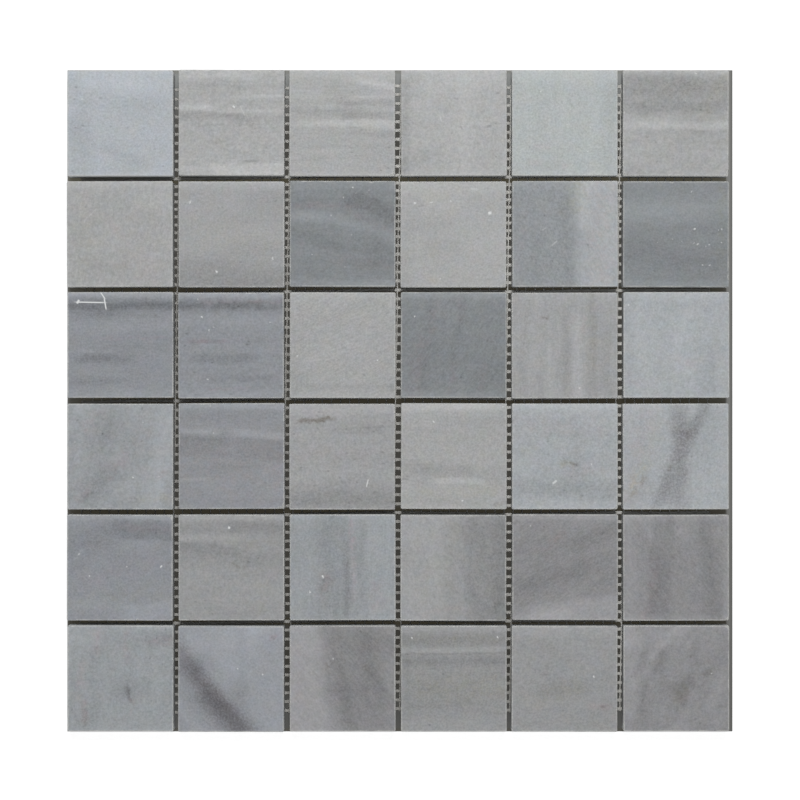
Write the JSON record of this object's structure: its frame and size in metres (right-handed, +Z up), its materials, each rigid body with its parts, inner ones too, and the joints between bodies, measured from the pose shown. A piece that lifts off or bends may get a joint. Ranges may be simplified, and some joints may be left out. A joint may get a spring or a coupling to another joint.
{
  "type": "mosaic tile sheet",
  "caption": "Square sheet of honed grey marble mosaic tiles in a straight grid with open joints, bonded to a backing net of glass-fibre yarn for laying on a wall or floor.",
  "frame": {"origin": "under the middle of the sheet, on the plane that its net lies on", "axes": "+Z up, out of the honed faces; +Y towards the first row of tiles and +X towards the last column, as the picture shows the sheet from above"},
  "size_m": [0.3004, 0.3004, 0.0106],
  "materials": {
    "marble_pale": "honed, pale grey with faint soft veins",
    "marble_grey": "honed, mid grey with faint soft veins",
    "marble_slate": "honed, dark blue-grey with soft bands",
    "glass_fibre": "coated glass-fibre yarn, off-white, satin"
  },
  "bodies": {
    "root": {"tile_r1_c1": "marble_pale", "tile_r1_c2": "marble_pale", "tile_r1_c3": "marble_pale", "tile_r1_c4": "marble_pale", "tile_r1_c5": "marble_pale", "tile_r1_c6": "marble_pale", "tile_r2_c1": "marble_pale", "tile_r2_c2": "marble_grey", "tile_r2_c3": "marble_slate", "tile_r2_c4": "marble_pale", "tile_r2_c5": "marble_grey", "tile_r2_c6": "marble_slate", "tile_r3_c1": "marble_slate", "tile_r3_c2": "marble_slate", "tile_r3_c3": "marble_pale", "tile_r3_c4": "marble_slate", "tile_r3_c5": "marble_grey", "tile_r3_c6": "marble_pale", "tile_r4_c1": "marble_grey", "tile_r4_c2": "marble_slate", "tile_r4_c3": "marble_grey", "tile_r4_c4": "marble_pale", "tile_r4_c5": "marble_pale", "tile_r4_c6": "marble_pale", "tile_r5_c1": "marble_slate", "tile_r5_c2": "marble_grey", "tile_r5_c3": "marble_grey", "tile_r5_c4": "marble_grey", "tile_r5_c5": "marble_slate", "tile_r5_c6": "marble_slate", "tile_r6_c1": "marble_grey", "tile_r6_c2": "marble_grey", "tile_r6_c3": "marble_slate", "tile_r6_c4": "marble_grey", "tile_r6_c5": "marble_grey", "tile_r6_c6": "marble_slate", "net_weft": "glass_fibre", "net_warp": "glass_fibre"}
  },
  "joints": []
}
